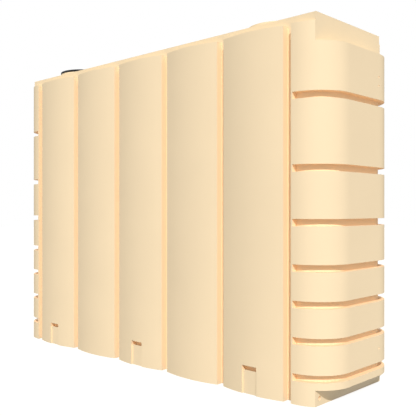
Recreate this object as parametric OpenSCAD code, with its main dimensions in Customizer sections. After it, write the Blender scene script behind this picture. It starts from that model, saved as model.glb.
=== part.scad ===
// Slimline rainwater tank in millimetres, +Z up, front towards -Y,
// origin under the middle of the core on the ground.

/* [Tank core] */
// Depth of the flat-faced core, front to back
core_depth = 702; // [640:2:900]
// Height of the flat roof above the ground
tank_height = 2150; // [2080:10:2400]
// Thickness of the moulded wall
wall = 6; // [4:0.5:8]

/* [Wall panels] */
// Number of bulged panels on the front, and on the back
bulge_count = 5; // [3:1:6]
// Width of one bulged panel
bulge_width = 447; // [380:1:520]
// Width of the upright channel between two panels
channel_width = 52; // [40:1:70]
// How far a bulged panel stands proud at its edges
bulge_edge = 45; // [36:1:52]
// How much further it stands proud at its middle
bulge_rise = 30; // [16:1:40]
// Drop from the roof to the top of the panels
panel_drop = 50; // [30:1:70]

/* [Rounded ends] */
// Width of the narrow panel beside each end
end_panel = 135; // [130:1:170]
// How far each end reaches past the core
end_reach = 100; // [80:1:130]
// Radius of the upright rounded corners
corner_radius = 222; // [190:1:225]
// Drop from the roof to the shoulder of each end
shoulder_drop = 159; // [130:1:200]
// Height at which the undercut of each end begins
undercut_height = 90; // [60:1:105]

/* [Band grooves] */
// Height of the lowest groove's middle above the ground
lowest_groove = 150; // [145:1:170]
// Spacings between the grooves, from the lowest upwards
groove_steps = [200, 200, 200, 250, 300, 400];
// Height of one band groove
groove_height = 40; // [24:1:56]
// Depth of one band groove
groove_depth = 38; // [20:1:44]
// Land left between a groove's end and the channel
groove_land = 9; // [8:1:24]

/* [Roof turrets] */
// Outer radius of both turrets
turret_radius = 202; // [185:1:210]
// Height of both turrets above the roof
turret_height = 67; // [40:1:90]
// Distance of the open inlet turret from the left end of the core
inlet_from_left = 231; // [225:1:600]
// Distance of the closed turret from the right end of the core
blank_from_right = 511; // [225:1:700]
// Radius of the hole in the top of the inlet turret
inlet_bore = 170; // [150:1:172]

/* [Outlet pads and anchor sockets] */
// Width of an outlet pad
pad_width = 106; // [80:1:140]
// Height of the flat face of a pad above the ground
pad_height = 138; // [110:1:150]
// How far a pad's face stands in front of the core
pad_face = 64; // [56:1:70]
// Height of the finger slot above a pad
slot_height = 27; // [16:1:36]
// Depth of the finger slot behind the panel's crown
slot_depth = 40; // [26:1:60]
// How far the slot's floor falls from its front to its back
slot_fall = 10; // [0:1:16]
// Radius of an anchor socket
socket_radius = 12.5; // [8:0.5:14]
// Depth of an anchor socket
socket_depth = 45; // [20:1:80]
// Height of a socket's middle above the ground
socket_height = 40; // [32:1:42]
// Distance of a socket's middle behind the core's face
socket_inset = 34.5; // [28:0.5:40]

/* [Drill marks] */
// Radius of a drill mark on the right end
mark_radius = 5; // [3:0.5:8]
// Thickness of the wall left behind a drill mark
mark_floor = 1.5; // [1:0.5:3]
// Heights of the drill marks above the ground
mark_heights = [251, 1803, 1854];
// Distance of the drill marks from the middle of the end
mark_offset = 162; // [0:1:164]

/* [Strainer] */
// How far the strainer's rim reaches past the turret
rim_overhang = 1; // [0:1:14]
// Height of the strainer's rim above the turret
rim_height = 17; // [10:1:30]
// Thickness of the strainer's plastic
strainer_wall = 4; // [3:0.5:6]
// Depth of the strainer's bowl below the turret's top
bowl_depth = 130; // [80:1:200]
// Gap between the bowl and the inlet hole
bowl_gap = 3; // [2:0.5:6]
// Width of the ledge that carries the mesh
ledge_width = 22; // [14:1:30]
// Number of spokes under the mesh
spoke_count = 8; // [4:2:12]
// Width of one spoke
spoke_width = 6; // [4:1:10]
// Radius of the hub where the spokes meet
hub_radius = 22; // [14:1:40]
// Thickness of the woven mesh
mesh_thickness = 1; // [0.8:0.1:1.5]
// Height of the ring that holds the mesh down
ring_height = 8; // [4:1:14]
// Gap round the ring inside the bowl
ring_gap = 0.5; // [0.3:0.1:1]

/* [Screws] */
// Number of screws through the strainer's flange
screw_count = 6; // [4:1:10]
// Radius of a screw's shank
shank_radius = 2.4; // [2:0.1:3]
// Length of a screw's shank
shank_length = 18; // [12:1:30]
// Radius of a screw's head
head_radius = 5; // [4:0.1:6]
// Height of a screw's head
head_height = 3.4; // [2.5:0.1:4]
// Gap between a shank and the flange's hole
screw_gap = 0.3; // [0.2:0.1:0.6]

/* [Hidden] */
$fn = 96;

// Pitch of the panels and length of the core
pitch = bulge_width + channel_width;
core_length = 2 * end_panel + (bulge_count + 1) * channel_width + bulge_count * bulge_width;
half_length = core_length / 2;
half_depth = core_depth / 2;

// Radius of a bulge's arc from its chord and its rise
bulge_radius = (bulge_width * bulge_width / 4 + bulge_rise * bulge_rise) / (2 * bulge_rise);
bulge_crown = bulge_edge + bulge_rise;

// Middles of the rounded corners: the arc ends flush with the bulges' edges
corner_x = half_length + end_reach - corner_radius;
corner_y = half_depth + bulge_edge - corner_radius;

// Heights of the panels' top, the shoulders and the grooves' middles
panel_top = tank_height - panel_drop;
shoulder = tank_height - shoulder_drop;
function running_sum(list, count) = count <= 0 ? 0 : list[count - 1] + running_sum(list, count - 1);
groove_middles = [for (i = [0 : len(groove_steps)]) lowest_groove + running_sum(groove_steps, i)];

// Turrets stand over the middle of the core's depth
inlet_x = inlet_from_left - half_length;
blank_x = half_length - blank_from_right;
turret_top = tank_height + turret_height;

// Pads sit on every second bulge of the front
pad_bulges = [0 : 2 : bulge_count - 1];

// Strainer radii and heights, all from the inlet hole and the turret
rim_radius = turret_radius + rim_overhang;
bowl_radius = inlet_bore - bowl_gap;
bowl_inside = bowl_radius - strainer_wall;
bowl_floor = turret_top - bowl_depth;
ledge_inside = bowl_inside - ledge_width;
mesh_base = bowl_floor + strainer_wall;
ring_outside = bowl_inside - ring_gap;
screw_circle = (inlet_bore + turret_radius) / 2;
flange_top = turret_top + strainer_wall;

// How far cutting shapes run past what they cut
past = 20;
// A span longer than the tank is deep
across = core_depth + 2 * bulge_crown + 4 * past;

function bulge_middle(i) = (i - (bulge_count - 1) / 2) * pitch;

module on_both_ends() {
    children();
    mirror([1, 0, 0]) children();
}

module on_both_faces() {
    children();
    mirror([0, 1, 0]) children();
}

// Outline of one bulge on the front, drawn in by inset
module bulge_outline(middle, inset) {
    width = bulge_width - 2 * inset;
    intersection() {
        translate([middle, bulge_radius - half_depth - bulge_crown])
            circle(bulge_radius - inset, $fn = 360);
        translate([middle - width / 2, -half_depth - bulge_crown - past])
            square([width, bulge_crown + past + wall * 3]);
    }
}

// Outline of the rounded right end, drawn in by inset and begun at from_x
module end_outline(from_x, inset) {
    reach = corner_radius - inset;
    flat_y = corner_y + reach;
    intersection() {
        translate([from_x, -across / 2]) square([corner_x + corner_radius - from_x, across]);
        union() {
            translate([0, -flat_y]) square([corner_x, 2 * flat_y]);
            translate([0, -corner_y]) square([corner_x + reach, 2 * corner_y]);
            for (side = [-1, 1]) translate([corner_x, side * corner_y]) circle(reach, $fn = 180);
        }
    }
}

// Core, bulged panels, rounded ends and turrets as one full form, drawn in by inset
module full_form(inset) {
    translate([-half_length + inset, -half_depth + inset, inset])
        cube([core_length - 2 * inset, core_depth - 2 * inset, tank_height - 2 * inset]);
    translate([0, 0, inset]) linear_extrude(panel_top - 2 * inset) {
        on_both_faces()
            for (i = [0 : bulge_count - 1]) bulge_outline(bulge_middle(i), inset);
        on_both_ends() end_outline(half_length - end_panel + inset, inset);
    }
    for (x = [inlet_x, blank_x]) translate([x, 0, tank_height / 2])
        cylinder(h = turret_top - tank_height / 2 - inset, r = turret_radius - inset);
}

// What the shoulder takes off the right end
module shoulder_cut(inset) {
    translate([half_length - inset, -across / 2, shoulder - inset])
        cube([end_reach + past, across, shoulder_drop + past]);
}

// Slanted underside of an end: height above ground at a distance from the corner's middle
chamfer_start = corner_radius - end_reach;
chamfer_slope = undercut_height / end_reach;
function chamfer_z(distance, inset) =
    (distance - chamfer_start) * chamfer_slope + inset * sqrt(1 + chamfer_slope * chamfer_slope);

// Half profile of what stays above the slanted underside
module chamfer_profile(inset) {
    start = chamfer_start - past;
    end = corner_radius + 4 * past;
    polygon([[0, chamfer_z(start, inset)], [start, chamfer_z(start, inset)],
        [end, chamfer_z(end, inset)], [end, tank_height], [0, tank_height]]);
}

// What the undercut takes off the right end
module undercut_cut(inset) {
    difference() {
        translate([half_length - inset, -across / 2, -past])
            cube([end_reach + past, across, undercut_height + past + 2 * inset]);
        translate([corner_x, corner_y, 0]) rotate([90, 0, 0])
            linear_extrude(2 * corner_y) chamfer_profile(inset);
        on_both_faces() translate([corner_x, -corner_y, 0]) rotate([0, 0, -90])
            rotate_extrude(angle = 90, $fn = 180) chamfer_profile(inset);
    }
}

// Grooves that wrap the right end from channel to channel
module groove_cuts(inset, land) {
    for (z = groove_middles) translate([0, 0, z - groove_height / 2 - inset])
        linear_extrude(groove_height + 2 * inset) difference() {
            translate([half_length - end_panel + land, -across / 2])
                square([end_panel - land + end_reach + past, across]);
            end_outline(half_length - end_panel, groove_depth + inset);
        }
}

// Flat outlet faces at the foot of the front, each with a finger slot above
module pad_cuts(inset) {
    front = -half_depth - bulge_crown - past;
    face = -half_depth - pad_face;
    back = -half_depth - bulge_crown + slot_depth + inset;
    base = pad_height - inset;
    for (i = pad_bulges) translate([bulge_middle(i) - pad_width / 2 - inset, 0, 0]) {
        translate([0, front, -past])
            cube([pad_width + 2 * inset, face + inset - front, pad_height + past]);
        rotate([90, 0, 90]) linear_extrude(pad_width + 2 * inset)
            polygon([[front, base], [face, base], [back, base - slot_fall],
                [back, base + slot_height + 2 * inset], [front, base + slot_height + 2 * inset]]);
    }
}

// Blind anchor sockets in the foot of each end face of the core
module socket_cuts(inset) {
    on_both_ends() on_both_faces()
        translate([half_length - socket_depth - inset, -half_depth + socket_inset, socket_height])
            rotate([0, 90, 0]) cylinder(h = socket_depth + inset + past, r = socket_radius + inset);
}

// Shallow marks where a fitting can be drilled in the right end
module drill_marks() {
    depth = wall - mark_floor;
    for (z = mark_heights) translate([half_length + end_reach - depth, mark_offset, z])
        rotate([0, 90, 0]) cylinder(h = depth + past, r = mark_radius);
}

// The moulded surface: inset 0 gives the outside, the wall thickness gives the inside
module moulded_form(inset, land) {
    difference() {
        full_form(inset);
        on_both_ends() {
            shoulder_cut(inset);
            undercut_cut(inset);
            groove_cuts(inset, land);
        }
        pad_cuts(inset);
        socket_cuts(inset);
    }
}

module screw_places() {
    for (i = [0 : screw_count - 1]) rotate([0, 0, (i + 0.5) * 360 / screw_count])
        translate([screw_circle, 0, 0]) children();
}

module tank_shell() {
    color([0.96, 0.87, 0.71]) difference() {
        moulded_form(0, groove_land);
        moulded_form(wall, 0);
        translate([inlet_x, 0, turret_top - wall - past]) cylinder(h = wall + 2 * past, r = inlet_bore);
        translate([inlet_x, 0, turret_top - wall - past]) screw_places()
            cylinder(h = wall + 2 * past, r = shank_radius, $fn = 24);
        drill_marks();
    }
}

// Dished strainer: rim, flange, bowl and a spoked floor that carries the mesh
module strainer_basket() {
    color([0.07, 0.08, 0.1]) translate([inlet_x, 0, 0]) difference() {
        union() {
            rotate_extrude(convexity = 6) polygon([
                [ledge_inside, bowl_floor], [bowl_radius, bowl_floor], [bowl_radius, turret_top],
                [rim_radius, turret_top], [rim_radius, turret_top + rim_height],
                [rim_radius - strainer_wall, turret_top + rim_height],
                [rim_radius - strainer_wall, flange_top], [bowl_inside, flange_top],
                [bowl_inside, mesh_base], [ledge_inside, mesh_base]]);
            intersection() {
                translate([0, 0, bowl_floor]) cylinder(h = strainer_wall, r = ledge_inside + ledge_width / 2);
                for (i = [0 : spoke_count / 2 - 1]) rotate([0, 0, i * 360 / spoke_count])
                    translate([-bowl_radius, -spoke_width / 2, bowl_floor])
                        cube([2 * bowl_radius, spoke_width, strainer_wall]);
            }
            translate([0, 0, bowl_floor]) cylinder(h = strainer_wall, r = hub_radius);
        }
        translate([0, 0, turret_top - past]) screw_places()
            cylinder(h = strainer_wall + 2 * past, r = shank_radius + screw_gap, $fn = 24);
    }
}

module insect_mesh() {
    color([0.7, 0.72, 0.74]) translate([inlet_x, 0, mesh_base])
        cylinder(h = mesh_thickness, r = bowl_inside - 2 * ring_gap);
}

module mesh_ring() {
    color([0.07, 0.08, 0.1]) translate([inlet_x, 0, mesh_base + mesh_thickness]) difference() {
        cylinder(h = ring_height, r = ring_outside);
        translate([0, 0, -past]) cylinder(h = ring_height + 2 * past, r = ledge_inside);
    }
}

module strainer_screws() {
    color([0.75, 0.76, 0.78]) translate([inlet_x, 0, flange_top]) screw_places() {
        cylinder(h = head_height, r = head_radius, $fn = 32);
        translate([0, 0, -shank_length]) cylinder(h = shank_length + head_height / 2, r = shank_radius, $fn = 24);
    }
}

tank_shell();
strainer_basket();
insect_mesh();
mesh_ring();
strainer_screws();
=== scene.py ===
import math

import bpy
import numpy as np
from bpy.props import FloatProperty, FloatVectorProperty, IntProperty, PointerProperty
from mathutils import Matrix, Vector


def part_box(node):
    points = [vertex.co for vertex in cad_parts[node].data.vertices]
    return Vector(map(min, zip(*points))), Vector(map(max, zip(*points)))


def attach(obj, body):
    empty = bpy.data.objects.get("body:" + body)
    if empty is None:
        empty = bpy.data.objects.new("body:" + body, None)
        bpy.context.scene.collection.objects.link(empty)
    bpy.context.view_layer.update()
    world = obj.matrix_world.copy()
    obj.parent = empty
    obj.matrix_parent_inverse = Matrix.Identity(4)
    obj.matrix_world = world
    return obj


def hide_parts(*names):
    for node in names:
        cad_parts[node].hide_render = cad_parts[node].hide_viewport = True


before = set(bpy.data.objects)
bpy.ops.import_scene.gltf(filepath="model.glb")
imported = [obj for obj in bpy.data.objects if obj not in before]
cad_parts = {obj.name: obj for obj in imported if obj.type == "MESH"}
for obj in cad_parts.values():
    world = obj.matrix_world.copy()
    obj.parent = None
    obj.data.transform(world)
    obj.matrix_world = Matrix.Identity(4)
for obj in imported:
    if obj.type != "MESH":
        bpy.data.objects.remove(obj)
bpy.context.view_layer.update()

bl_info = {
    "name": "Slimline Tank Finish",
    "version": (1, 0, 0),
    "blender": (4, 5, 0),
    "location": "View3D > Sidebar > Tank",
    "description": "Finishes, small fittings and studio for the slimline water tank",
    "category": "Object",
}

MESH_LOW, MESH_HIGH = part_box("insect_mesh")
SCREWS_LOW, SCREWS_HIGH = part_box("strainer_screws")
INLET = ((MESH_LOW[0] + MESH_HIGH[0]) / 2, (MESH_LOW[1] + MESH_HIGH[1]) / 2)

# Share of open sky over a spot at which the painted bounce light of a hollow begins, and at which
# it is full.
PAINTED_BOUNCE_BEGINS, PAINTED_BOUNCE_FULL = 0.62, 0.48
# Most of a noise lies between these two values.
NOISE_LOW, NOISE_HIGH = 0.3, 0.7
# How far the shell's roughness strays to each side of its own.
GLOSS_SPREAD = 0.04

# The screws, as shares of the head's radius or height and of the shank's radius.
SCREW_COLUMNS = 48
HEAD_RINGS = (0.06, 0.12, 0.17, 0.22, 0.32, 0.42, 0.52, 0.58, 0.63, 0.68, 0.8, 0.9, 0.97, 1.0)
DOME_DROP = 0.35
CROSS_DEPTH = 0.5
CROSS_HALF_WIDTH, CROSS_REACH = 0.19, 0.66
CROSS_SIDE_SLOPE, CROSS_END_SLOPE = 0.06, 0.08
THREAD_ROOT, THREAD_STEP = 0.82, 0.55

LAMP_SPREAD = math.radians(1.0)
LAMP_DISTANCE = 10
SENSOR_WIDTH = 36
WHITE = (1, 1, 1, 1)


# Properties

class TankShellProperties(bpy.types.PropertyGroup):
    """Finish of the moulded shell."""
    body_colour: FloatVectorProperty(
        name="Body colour", description="Colour of the polyethylene, linear",
        subtype="COLOR", size=3, min=0, max=1, default=(0.859, 0.739, 0.522))
    # Painted bounce light: a brighter, warmer colour mixed into the hollows of the shell in place
    # of light bounced between their walls.
    painted_bounce_colour: FloatVectorProperty(
        name="Hollow colour", description="Colour of the polyethylene deep in a hollow, linear",
        subtype="COLOR", size=3, min=0, max=1, default=(0.99, 0.77, 0.53))
    # How far into a hollow the painted bounce light reaches.
    painted_bounce_reach: FloatProperty(
        name="Hollow reach", description="Distance over which a hollow deepens the colour",
        unit="LENGTH", min=0.005, default=0.1)
    roughness: FloatProperty(
        name="Roughness", description="Roughness of the moulded surface",
        subtype="FACTOR", min=0, max=1, default=0.62)
    grain_size: FloatProperty(
        name="Grain size", description="Size of the fine skin of the moulding",
        unit="LENGTH", min=0.0005, default=0.004)
    grain_height: FloatProperty(
        name="Grain height", description="Height of the fine skin of the moulding",
        unit="LENGTH", min=0, default=0.00012)
    wave_height: FloatProperty(
        name="Wave height", description="Height of the long soft waves of the wall",
        unit="LENGTH", min=0, default=0.0006)


class StrainerProperties(bpy.types.PropertyGroup):
    """Finish of the strainer, and sizes of its wires and screws."""
    plastic_colour: FloatVectorProperty(
        name="Plastic colour", description="Colour of the black moulding, linear",
        subtype="COLOR", size=3, min=0, max=1, default=(0.003, 0.005, 0.007))
    steel_colour: FloatVectorProperty(
        name="Steel colour", description="Colour of the stainless wire and screws, linear",
        subtype="COLOR", size=3, min=0, max=1, default=(0.56, 0.57, 0.58))
    wire_pitch: FloatProperty(
        name="Wire pitch", description="Distance between two wires of the mesh",
        unit="LENGTH", min=0.002, default=0.0045)
    wire_radius: FloatProperty(
        name="Wire radius", description="Radius of one wire of the mesh",
        unit="LENGTH", min=0.0001, default=0.00028)
    wire_sides: IntProperty(
        name="Wire sides", description="Number of sides of one wire", min=3, max=12, default=4)
    screw_count: IntProperty(
        name="Screws", description="Number of screws through the flange",
        min=3, max=12, default=6)
    screw_head: FloatProperty(
        name="Screw head", description="Radius of a screw's head",
        unit="LENGTH", min=0.002, default=0.005)
    screw_head_height: FloatProperty(
        name="Screw head height", description="Height of a screw's head",
        unit="LENGTH", min=0.001, default=0.0034)
    screw_shank: FloatProperty(
        name="Screw shank", description="Radius of a screw's shank",
        unit="LENGTH", min=0.001, default=0.0024)


class StudioProperties(bpy.types.PropertyGroup):
    """Camera, lamps and floor."""
    camera_place: FloatVectorProperty(
        name="Camera place", description="Where the camera stands",
        subtype="XYZ", unit="LENGTH", size=3, default=(3.33435, -3.25888, 1.07615))
    camera_turn: FloatProperty(
        name="Camera turn", description="Turn of the camera about the upright axis",
        subtype="ANGLE", default=math.radians(43.19))
    camera_lens: FloatProperty(
        name="Lens", description="Focal length on a 36 mm wide sensor, in millimetres",
        default=54.83)
    camera_shift: FloatProperty(
        name="Shift", description="Upward shift of the frame, as a share of its width",
        default=0.00168)
    sun_turn: FloatProperty(
        name="Sun turn", description="Direction of the key light, right of the tank's front",
        subtype="ANGLE", default=math.radians(45.9))
    sun_height: FloatProperty(
        name="Sun height", description="Height of the key light above the horizon",
        subtype="ANGLE", default=math.radians(38))
    sun_power: FloatProperty(
        name="Sun power", description="Strength of the key light", min=0, default=3.12)
    sun_colour: FloatVectorProperty(
        name="Sun colour", description="Colour of the key light, linear",
        subtype="COLOR", size=3, min=0, max=1, default=(1.0, 0.9, 0.81))
    back_turn: FloatProperty(
        name="Back light turn", description="Direction of the back light, right of the front",
        subtype="ANGLE", default=math.radians(226))
    back_height: FloatProperty(
        name="Back light height", description="Height of the back light above the horizon",
        subtype="ANGLE", default=math.radians(20))
    back_power: FloatProperty(
        name="Back light power", description="Strength of the back light", min=0, default=1.0)
    fill_power: FloatProperty(
        name="Fill power", description="Strength of the light from all round",
        min=0, default=0.475)
    floor_size: FloatProperty(
        name="Floor size", description="Width of the square floor", unit="LENGTH", default=60)
    floor_colour: FloatVectorProperty(
        name="Floor colour", description="Colour of the floor, linear",
        subtype="COLOR", size=3, min=0, max=1, default=(0.15, 0.15, 0.15))
    floor_glow: FloatProperty(
        name="Floor glow", description="White added where the camera or a gloss sees the floor",
        min=0, default=0.7)
    floor_bounce: FloatProperty(
        name="Floor bounce", description="Even light from the floor, in the tank's shadow too",
        min=0, default=0.23)
    bounce_colour: FloatVectorProperty(
        name="Bounce colour", description="Colour of the light from the floor, linear",
        subtype="COLOR", size=3, min=0, max=1, default=(1.0, 0.91, 0.82))


# Materials

class Nodes:
    """An empty node tree of a new material or world, with short calls that add nodes."""

    def __init__(self, owner, output="ShaderNodeOutputMaterial"):
        owner.use_nodes = True
        self.owner = owner
        self.tree = owner.node_tree
        self.tree.nodes.clear()
        self.output = self.add(output)

    def feed(self, socket, value):
        """Gives an input socket a value, or links an output to it."""
        if isinstance(value, bpy.types.NodeSocket):
            self.tree.links.new(value, socket)
        else:
            socket.default_value = value

    def add(self, kind, settings=None, **inputs):
        """One node: settings are its own fields, inputs its sockets by name."""
        node = self.tree.nodes.new(kind)
        for field, value in (settings or {}).items():
            setattr(node, field, value)
        for name, value in inputs.items():
            self.feed(node.inputs[name.replace("_", " ")], value)
        return node

    def join(self, kind, first, second, settings=None):
        """Output of a node that joins its first two inputs, such as a sum."""
        node = self.add(kind, settings)
        self.feed(node.inputs[0], first)
        self.feed(node.inputs[1], second)
        return node.outputs[0]

    def noise(self, scale, detail):
        """Cloudy noise in object space, scale in waves per metre."""
        place = self.add("ShaderNodeTexCoord").outputs["Object"]
        return self.add(
            "ShaderNodeTexNoise", Vector=place, Scale=scale, Detail=detail).outputs["Fac"]

    def spread(self, value, low, high, out_low, out_high):
        """Carries value from low..high to out_low..out_high, clamped."""
        return self.add("ShaderNodeMapRange", Value=value, From_Min=low, From_Max=high,
                        To_Min=out_low, To_Max=out_high).outputs["Result"]

    def clouds(self, scale, detail, low=0.0, high=1.0):
        """Noise that fills the range from low to high."""
        return self.spread(self.noise(scale, detail), NOISE_LOW, NOISE_HIGH, low, high)

    def blend(self, share, first, second):
        """Colour that goes from first to second with share, each a colour or an output."""
        node = self.add("ShaderNodeMix", {"data_type": "RGBA"})
        share_socket, first_socket, second_socket = (node.inputs[place] for place in (0, 6, 7))
        self.feed(share_socket, share)
        self.feed(first_socket, first)
        self.feed(second_socket, second)
        return node.outputs[2]

    def hollow(self, reach):
        """0 on open ground and up to 1 deep in a hollow of the piece, narrower than reach; the mask
        of the painted bounce light.
        """
        node = self.add("ShaderNodeAmbientOcclusion", {"samples": 8, "only_local": True},
                        Distance=reach)
        return self.spread(node.outputs["AO"], PAINTED_BOUNCE_BEGINS, PAINTED_BOUNCE_FULL, 0.0, 1.0)

    def bump(self, height, distance, **inputs):
        """Normal of a surface raised by height times distance."""
        return self.add(
            "ShaderNodeBump", Height=height, Distance=distance, **inputs).outputs["Normal"]

    def skin(self, **inputs):
        """A surface with the gloss, colour and relief that its inputs give."""
        return self.add("ShaderNodeBsdfPrincipled", **inputs).outputs["BSDF"]

    def finish(self, shader):
        """Ends the tree in shader and returns the material or world."""
        self.tree.links.new(shader, self.output.inputs["Surface"])
        return self.owner


def new_nodes(name):
    """The empty tree of a new material."""
    return Nodes(bpy.data.materials.new(name))


def toned(colour, factor):
    """The colour made lighter or darker by factor, for a socket."""
    return (*(min(1.0, channel * factor) for channel in colour), 1)


def polyethylene(settings):
    """Matt cream polyethylene: faint clouds, a fine moulded skin and long soft waves, with painted
    bounce light in its hollows, a brighter and warmer colour in place of light bounced between the
    walls.
    """
    made = new_nodes("cream_polyethylene")
    body = settings.body_colour
    colour = made.blend(made.clouds(scale=2.2, detail=3.0), toned(body, 0.985), toned(body, 1.015))
    # Painted bounce light: deep in a hollow the colour turns to the brighter, warmer bounce colour,
    # in place of light bounced between the walls.
    colour = made.blend(
        made.hollow(settings.painted_bounce_reach), colour, toned(settings.painted_bounce_colour, 1))
    gloss = made.clouds(scale=9.0, detail=3.0, low=settings.roughness - GLOSS_SPREAD,
                        high=settings.roughness + GLOSS_SPREAD)
    grain = made.bump(
        made.noise(scale=1 / settings.grain_size, detail=2.0), settings.grain_height)
    relief = made.bump(
        made.noise(scale=5.0, detail=1.0), settings.wave_height, Normal=grain)
    return made.finish(made.skin(
        Base_Color=colour, Roughness=gloss, Specular_IOR_Level=0.2, Normal=relief))


def black_plastic(settings):
    """Satin black moulding with a fine spark-eroded texture."""
    made = new_nodes("black_strainer_plastic")
    black = settings.plastic_colour
    colour = made.blend(
        made.clouds(scale=40.0, detail=3.0), toned(black, 0.8), toned(black, 1.3))
    gloss = made.clouds(scale=120.0, detail=2.0, low=0.38, high=0.52)
    relief = made.bump(made.noise(scale=900.0, detail=2.0), distance=0.00012)
    return made.finish(made.skin(Base_Color=colour, Roughness=gloss, Normal=relief))


def stainless(settings):
    """Stainless steel, a little uneven in its gloss and colour."""
    made = new_nodes("stainless_wire")
    steel = settings.steel_colour
    colour = made.blend(
        made.clouds(scale=60.0, detail=2.0), toned(steel, 0.9), toned(steel, 1.08))
    gloss = made.clouds(scale=400.0, detail=3.0, low=0.22, high=0.42)
    return made.finish(made.skin(Base_Color=colour, Roughness=gloss, Metallic=1.0))


def floor_white(settings):
    """White floor: plain diffuse with an even warm glow for the tank, and white added
    where the camera, a gloss or a glass sees it."""
    made = new_nodes("studio_floor")
    rays = made.add("ShaderNodeLightPath").outputs
    larger, times = {"operation": "MAXIMUM"}, {"operation": "MULTIPLY"}
    seen = made.join("ShaderNodeMath", rays["Is Camera Ray"], rays["Is Glossy Ray"], larger)
    seen = made.join("ShaderNodeMath", seen, rays["Is Transmission Ray"], larger)
    strength = made.join("ShaderNodeMath", seen, settings.floor_glow, times)
    diffuse = made.add("ShaderNodeBsdfDiffuse", Color=(*settings.floor_colour, 1))
    bounce = made.add("ShaderNodeEmission", Color=(*settings.bounce_colour, 1),
                      Strength=settings.floor_bounce)
    glow = made.add("ShaderNodeEmission", Color=WHITE, Strength=strength)
    lit = made.join("ShaderNodeAddShader", diffuse.outputs[0], bounce.outputs[0])
    return made.finish(made.join("ShaderNodeAddShader", lit, glow.outputs[0]))


# Surfaces

def new_piece(name, points, faces, material, smooth):
    """A mesh object from points (n, 3) in metres and a list of face arrays, each (m, corners)
    of point numbers."""
    mesh = bpy.data.meshes.new(name)
    mesh.from_pydata(points.tolist(), [], [face for block in faces for face in block.tolist()])
    mesh.polygons.foreach_set("use_smooth", np.full(len(mesh.polygons), smooth))
    mesh.update()
    mesh.materials.append(material)
    piece = bpy.data.objects.new(name, mesh)
    bpy.context.scene.collection.objects.link(piece)
    return piece


def strip_faces(rows, columns):
    """Quads between neighbouring rows of points, each row closed on itself."""
    row, column = np.meshgrid(np.arange(rows - 1), np.arange(columns), indexing="ij")
    after = (column + 1) % columns
    here = row * columns
    above = here + columns
    return np.stack([here + column, here + after, above + after, above + column], -1).reshape(-1, 4)


def woven_wires(radius, pitch, wire, sides, along_y):
    """Wires of one direction of a plain weave inside a circle.
    A wire at offset u runs along v, from -c to c with c the half chord, and its height is
    wire * cos(pi * v / pitch), up and down in turn from one wire to the next.
    The section is a ring of the wire's radius round that line. Both ends are closed."""
    count = int(radius / pitch)
    steps = int(2 * radius / (pitch / 2))
    offset = (np.arange(-count, count) + 0.5) * pitch
    half_chord = np.sqrt(radius ** 2 - offset ** 2)
    along = half_chord[:, None] * np.linspace(-1, 1, steps)
    turn = np.where((np.arange(2 * count) + along_y) % 2 == 0, 1.0, -1.0)
    height = turn[:, None] * wire * np.cos(math.pi * along / pitch)
    angle = np.arange(sides) * 2 * math.pi / sides + math.pi / sides
    u, v, z = np.broadcast_arrays(
        offset[:, None, None] + wire * np.cos(angle),
        along[:, :, None],
        height[:, :, None] + wire * np.sin(angle))
    points = np.stack([u, v, z] if along_y else [v, u, z], -1).reshape(-1, 3)
    starts = np.arange(2 * count)[:, None, None] * steps * sides
    ring = np.arange(sides)
    tubes = (starts + strip_faces(steps, sides)).reshape(-1, 4)
    ends = (starts + np.stack([ring[::-1], (steps - 1) * sides + ring])).reshape(-1, sides)
    order = -1 if along_y else 1
    return points, [tubes[:, ::order], ends[:, ::order]]


def screw_surface(head, height, shank, length):
    """A pan-head screw about its own axis, head from 0 up and shank from 0 down.
    The head is a shallow dome, height * (1 - 0.35 * (r / head) ** 4). A cross is sunk in its
    middle, half the height deep, where the smaller of |x| and |y| is under 0.13 * head and r
    is under 0.58 * head, and it slopes up to nothing at 0.19 and 0.66 * head.
    The shank's rings are wide and narrow in turn, as the crests and roots of a thread."""
    angle = np.arange(SCREW_COLUMNS) * 2 * math.pi / SCREW_COLUMNS
    radii = head * np.array(HEAD_RINGS)
    r = np.repeat(radii[:, None], SCREW_COLUMNS, 1)
    x, y = r * np.cos(angle), r * np.sin(angle)
    dome = height * (1 - DOME_DROP * (r / head) ** 4)
    arm = (CROSS_HALF_WIDTH * head - np.minimum(abs(x), abs(y))) / (CROSS_SIDE_SLOPE * head)
    reach = (CROSS_REACH * head - r) / (CROSS_END_SLOPE * head)
    z = dome - CROSS_DEPTH * height * np.clip(arm, 0, 1) * np.clip(reach, 0, 1)
    turns = int(length / (shank * THREAD_STEP))
    neck = [(head, 0.0), (shank * 1.02, 0.0)]
    thread = [(shank * (1.0 if turn % 2 else THREAD_ROOT), -length * (turn + 1) / (turns + 3))
              for turn in range(turns)]
    point = [(shank * 0.5, -length * 0.97), (shank * 0.08, -length)]
    rings = neck + thread + point
    low_radius, low_level = np.array(rings).T[:, :, None]
    low = np.stack(np.broadcast_arrays(
        low_radius * np.cos(angle), low_radius * np.sin(angle), low_level), -1)
    tips = [[0, 0, z[0].mean()], [0, 0, -length]]
    points = np.concatenate([np.stack([x, y, z], -1).reshape(-1, 3), low.reshape(-1, 3), tips])
    rows = len(radii) + len(rings)
    ring = np.arange(SCREW_COLUMNS)
    following = (ring + 1) % SCREW_COLUMNS
    last = (rows - 1) * SCREW_COLUMNS
    top = np.full(SCREW_COLUMNS, rows * SCREW_COLUMNS)
    cap_top = np.stack([top, ring, following], -1)
    cap_end = np.stack([top + 1, last + following, last + ring], -1)
    return points, [strip_faces(rows, SCREW_COLUMNS)[:, ::-1], cap_top, cap_end]


# Operators

class TANK_OT_shell(bpy.types.Operator):
    """Gives the moulded shell its cream polyethylene."""
    bl_idname = "tank.shell"
    bl_label = "Finish the shell"

    def execute(self, context):
        finish_node("tank_shell", polyethylene(context.scene.tank_shell_finish))
        return {"FINISHED"}


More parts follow.
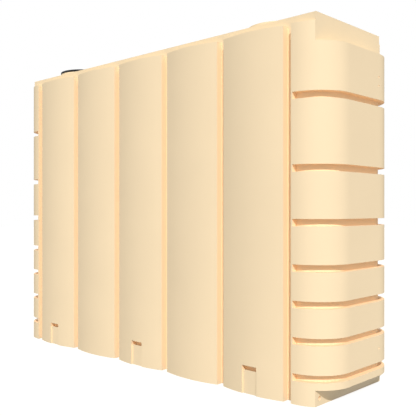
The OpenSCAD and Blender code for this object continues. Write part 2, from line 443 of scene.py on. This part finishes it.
class TANK_OT_strainer(bpy.types.Operator):
    """Gives the strainer and its ring their black plastic."""
    bl_idname = "tank.strainer"
    bl_label = "Finish the strainer"

    def execute(self, context):
        material = black_plastic(context.scene.tank_strainer)
        for node in ("strainer_basket", "mesh_ring"):
            finish_node(node, material)
        return {"FINISHED"}


class TANK_OT_mesh(bpy.types.Operator):
    """Weaves the strainer's mesh from two directions of stainless wire."""
    bl_idname = "tank.mesh"
    bl_label = "Weave the mesh"

    def execute(self, context):
        settings = context.scene.tank_strainer
        radius = (MESH_HIGH[0] - MESH_LOW[0]) / 2
        middle = np.array([*INLET, (MESH_LOW[2] + MESH_HIGH[2]) / 2])
        (first, first_faces), (second, second_faces) = (
            woven_wires(radius, settings.wire_pitch, settings.wire_radius,
                        settings.wire_sides, along_y)
            for along_y in (False, True))
        points = np.concatenate([first, second]) + middle
        faces = first_faces + [block + len(first) for block in second_faces]
        piece = new_piece("woven_mesh", points, faces, stainless(settings), smooth=True)
        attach(piece, "root")
        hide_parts("insect_mesh")
        return {"FINISHED"}


class TANK_OT_screws(bpy.types.Operator):
    """Makes the pan-head screws of the strainer's flange."""
    bl_idname = "tank.screws"
    bl_label = "Make the screws"

    def execute(self, context):
        settings = context.scene.tank_strainer
        flange = SCREWS_HIGH[2] - settings.screw_head_height
        circle = (SCREWS_HIGH[1] - SCREWS_LOW[1]) / 2 - settings.screw_head
        screw, screw_faces = screw_surface(
            settings.screw_head, settings.screw_head_height, settings.screw_shank,
            flange - SCREWS_LOW[2])
        points, faces = [], []
        for number in range(settings.screw_count):
            angle = (number + 0.5) * 2 * math.pi / settings.screw_count
            place = (INLET[0] + circle * math.cos(angle), INLET[1] + circle * math.sin(angle),
                     flange)
            points.append(screw + np.array(place))
            faces += [block + number * len(screw) for block in screw_faces]
        piece = new_piece("flange_screws", np.concatenate(points), faces, stainless(settings),
                          smooth=False)
        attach(piece, "root")
        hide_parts("strainer_screws")
        return {"FINISHED"}


class TANK_OT_stage(bpy.types.Operator):
    """Sets up the floor, the lamps, the world and the camera."""
    bl_idname = "tank.stage"
    bl_label = "Set the stage"

    def execute(self, context):
        studio = context.scene.tank_studio
        make_floor(studio)
        make_lamp("key_light", studio.sun_power, studio.sun_colour,
                  studio.sun_turn, studio.sun_height)
        make_lamp("back_light", studio.back_power, WHITE[:3],
                  studio.back_turn, studio.back_height)
        make_world(studio)
        make_camera(studio)
        context.scene.view_settings.view_transform = "Standard"
        return {"FINISHED"}


def finish_node(name, material):
    """Puts one material on all slots of a node that stays as it is."""
    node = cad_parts[name]
    if not node.material_slots:
        node.data.materials.append(material)
    for slot in node.material_slots:
        slot.material = material


def make_floor(settings):
    """A square floor on the ground, with its middle under the tank's."""
    half = settings.floor_size / 2
    corners = np.array([[-half, -half, 0], [half, -half, 0], [half, half, 0], [-half, half, 0]])
    floor = new_piece("studio_floor", corners, [np.array([[0, 1, 2, 3]])],
                      floor_white(settings), smooth=False)


def make_lamp(name, power, colour, turn, height):
    """A distant lamp: turn is its direction right of the tank's front, height its angle
    above the horizon."""
    lamp = bpy.data.lights.new(name, "SUN")
    lamp.energy = power
    lamp.color = colour
    lamp.angle = LAMP_SPREAD
    light = bpy.data.objects.new(name, lamp)
    level = math.cos(height)
    towards = Vector((math.sin(turn) * level, -math.cos(turn) * level, math.sin(height)))
    light.rotation_mode = "QUATERNION"
    light.rotation_quaternion = towards.to_track_quat("Z", "Y")
    light.location = towards * LAMP_DISTANCE
    bpy.context.scene.collection.objects.link(light)


def make_world(settings):
    """Even white fill, and plain white where the camera sees the world."""
    made = Nodes(bpy.data.worlds.new("studio_world"), "ShaderNodeOutputWorld")
    mix = made.add("ShaderNodeMixShader")
    made.feed(mix.inputs[0], made.add("ShaderNodeLightPath").outputs["Is Camera Ray"])
    for socket, strength in zip(mix.inputs[1:], (settings.fill_power, 1.0)):
        light = made.add("ShaderNodeBackground", Color=WHITE, Strength=strength)
        made.feed(socket, light.outputs[0])
    bpy.context.scene.world = made.finish(mix.outputs[0])


def make_camera(settings):
    """A level camera at the photograph's place and angle."""
    lens = bpy.data.cameras.new("camera")
    lens.sensor_width = SENSOR_WIDTH
    lens.lens = settings.camera_lens
    lens.shift_y = settings.camera_shift
    camera = bpy.data.objects.new("camera", lens)
    camera.location = settings.camera_place
    camera.rotation_euler = (math.radians(90), 0, settings.camera_turn)
    bpy.context.scene.collection.objects.link(camera)
    bpy.context.scene.camera = camera


class TANK_PT_panel(bpy.types.Panel):
    """Lists the tank's operators in the sidebar."""
    bl_label = "Slimline tank"
    bl_idname = "TANK_PT_panel"
    bl_space_type = "VIEW_3D"
    bl_region_type = "UI"
    bl_category = "Tank"

    def draw(self, context):
        for operator in OPERATORS:
            self.layout.operator(operator.bl_idname)


GROUPS = {
    "tank_shell_finish": TankShellProperties,
    "tank_strainer": StrainerProperties,
    "tank_studio": StudioProperties,
}
OPERATORS = (TANK_OT_stage, TANK_OT_shell, TANK_OT_strainer, TANK_OT_mesh, TANK_OT_screws)
CLASSES = (*GROUPS.values(), *OPERATORS, TANK_PT_panel)


def register():
    for made in CLASSES:
        bpy.utils.register_class(made)
    for name, group in GROUPS.items():
        setattr(bpy.types.Scene, name, PointerProperty(type=group))


def unregister():
    for name in GROUPS:
        delattr(bpy.types.Scene, name)
    for made in reversed(CLASSES):
        bpy.utils.unregister_class(made)


def main():
    register()
    for operator in OPERATORS:
        group, name = operator.bl_idname.split(".")
        getattr(getattr(bpy.ops, group), name)()


if __name__ == "__main__":
    main()
